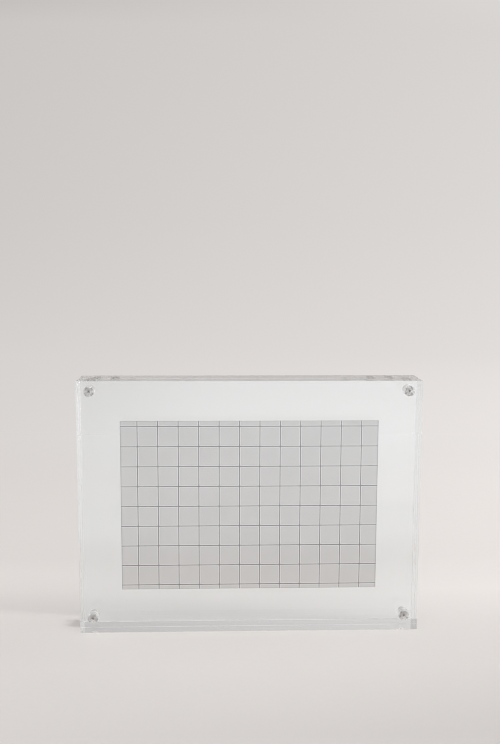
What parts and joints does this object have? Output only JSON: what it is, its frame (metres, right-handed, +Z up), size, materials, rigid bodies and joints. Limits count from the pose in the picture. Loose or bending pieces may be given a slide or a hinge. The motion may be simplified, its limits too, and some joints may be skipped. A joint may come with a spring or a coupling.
{
  "type": "photo frame",
  "caption": "Clear acrylic block photo frame: a front and a back block, held together by corner magnets, clamp a grid-printed photo card between them and stand on their base.",
  "frame": {"origin": "middle of the base: on the surface the frame stands on, in the parting plane between the blocks, midway from side to side", "axes": "+Z up, the front of the frame faces -Y, +X to the viewer's right"},
  "size_m": [0.2, 0.0256, 0.15],
  "materials": {
    "acrylic": "clear cast acrylic, diamond polished all round",
    "card": "matt light grey card printed with a fine dark grid, plain on its back",
    "magnet": "bright nickel plate over sintered magnet",
    "adhesive": "clear cured adhesive"
  },
  "bodies": {
    "back_half": {"back_block": "acrylic", "back_magnet_top_left": "magnet", "back_magnet_top_right": "magnet", "back_magnet_bottom_left": "magnet", "back_magnet_bottom_right": "magnet", "back_adhesive_top_left": "adhesive", "back_adhesive_top_right": "adhesive", "back_adhesive_bottom_left": "adhesive", "back_adhesive_bottom_right": "adhesive"},
    "front_half": {"front_block": "acrylic", "front_magnet_top_left": "magnet", "front_magnet_top_right": "magnet", "front_magnet_bottom_left": "magnet", "front_magnet_bottom_right": "magnet", "front_adhesive_top_left": "adhesive", "front_adhesive_top_right": "adhesive", "front_adhesive_bottom_left": "adhesive", "front_adhesive_bottom_right": "adhesive"},
    "photo": {"photo_card": "card"}
  },
  "joints": [
    {"name": "front_pull", "type": "slide", "parent": "back_half", "child": "front_half", "axis": [0, -1, 0], "range_m": [0, 0.06]},
    {"name": "photo_lift", "type": "slide", "parent": "back_half", "child": "photo", "axis": [0, 0, 1], "range_m": [0, 0.13]}
  ]
}
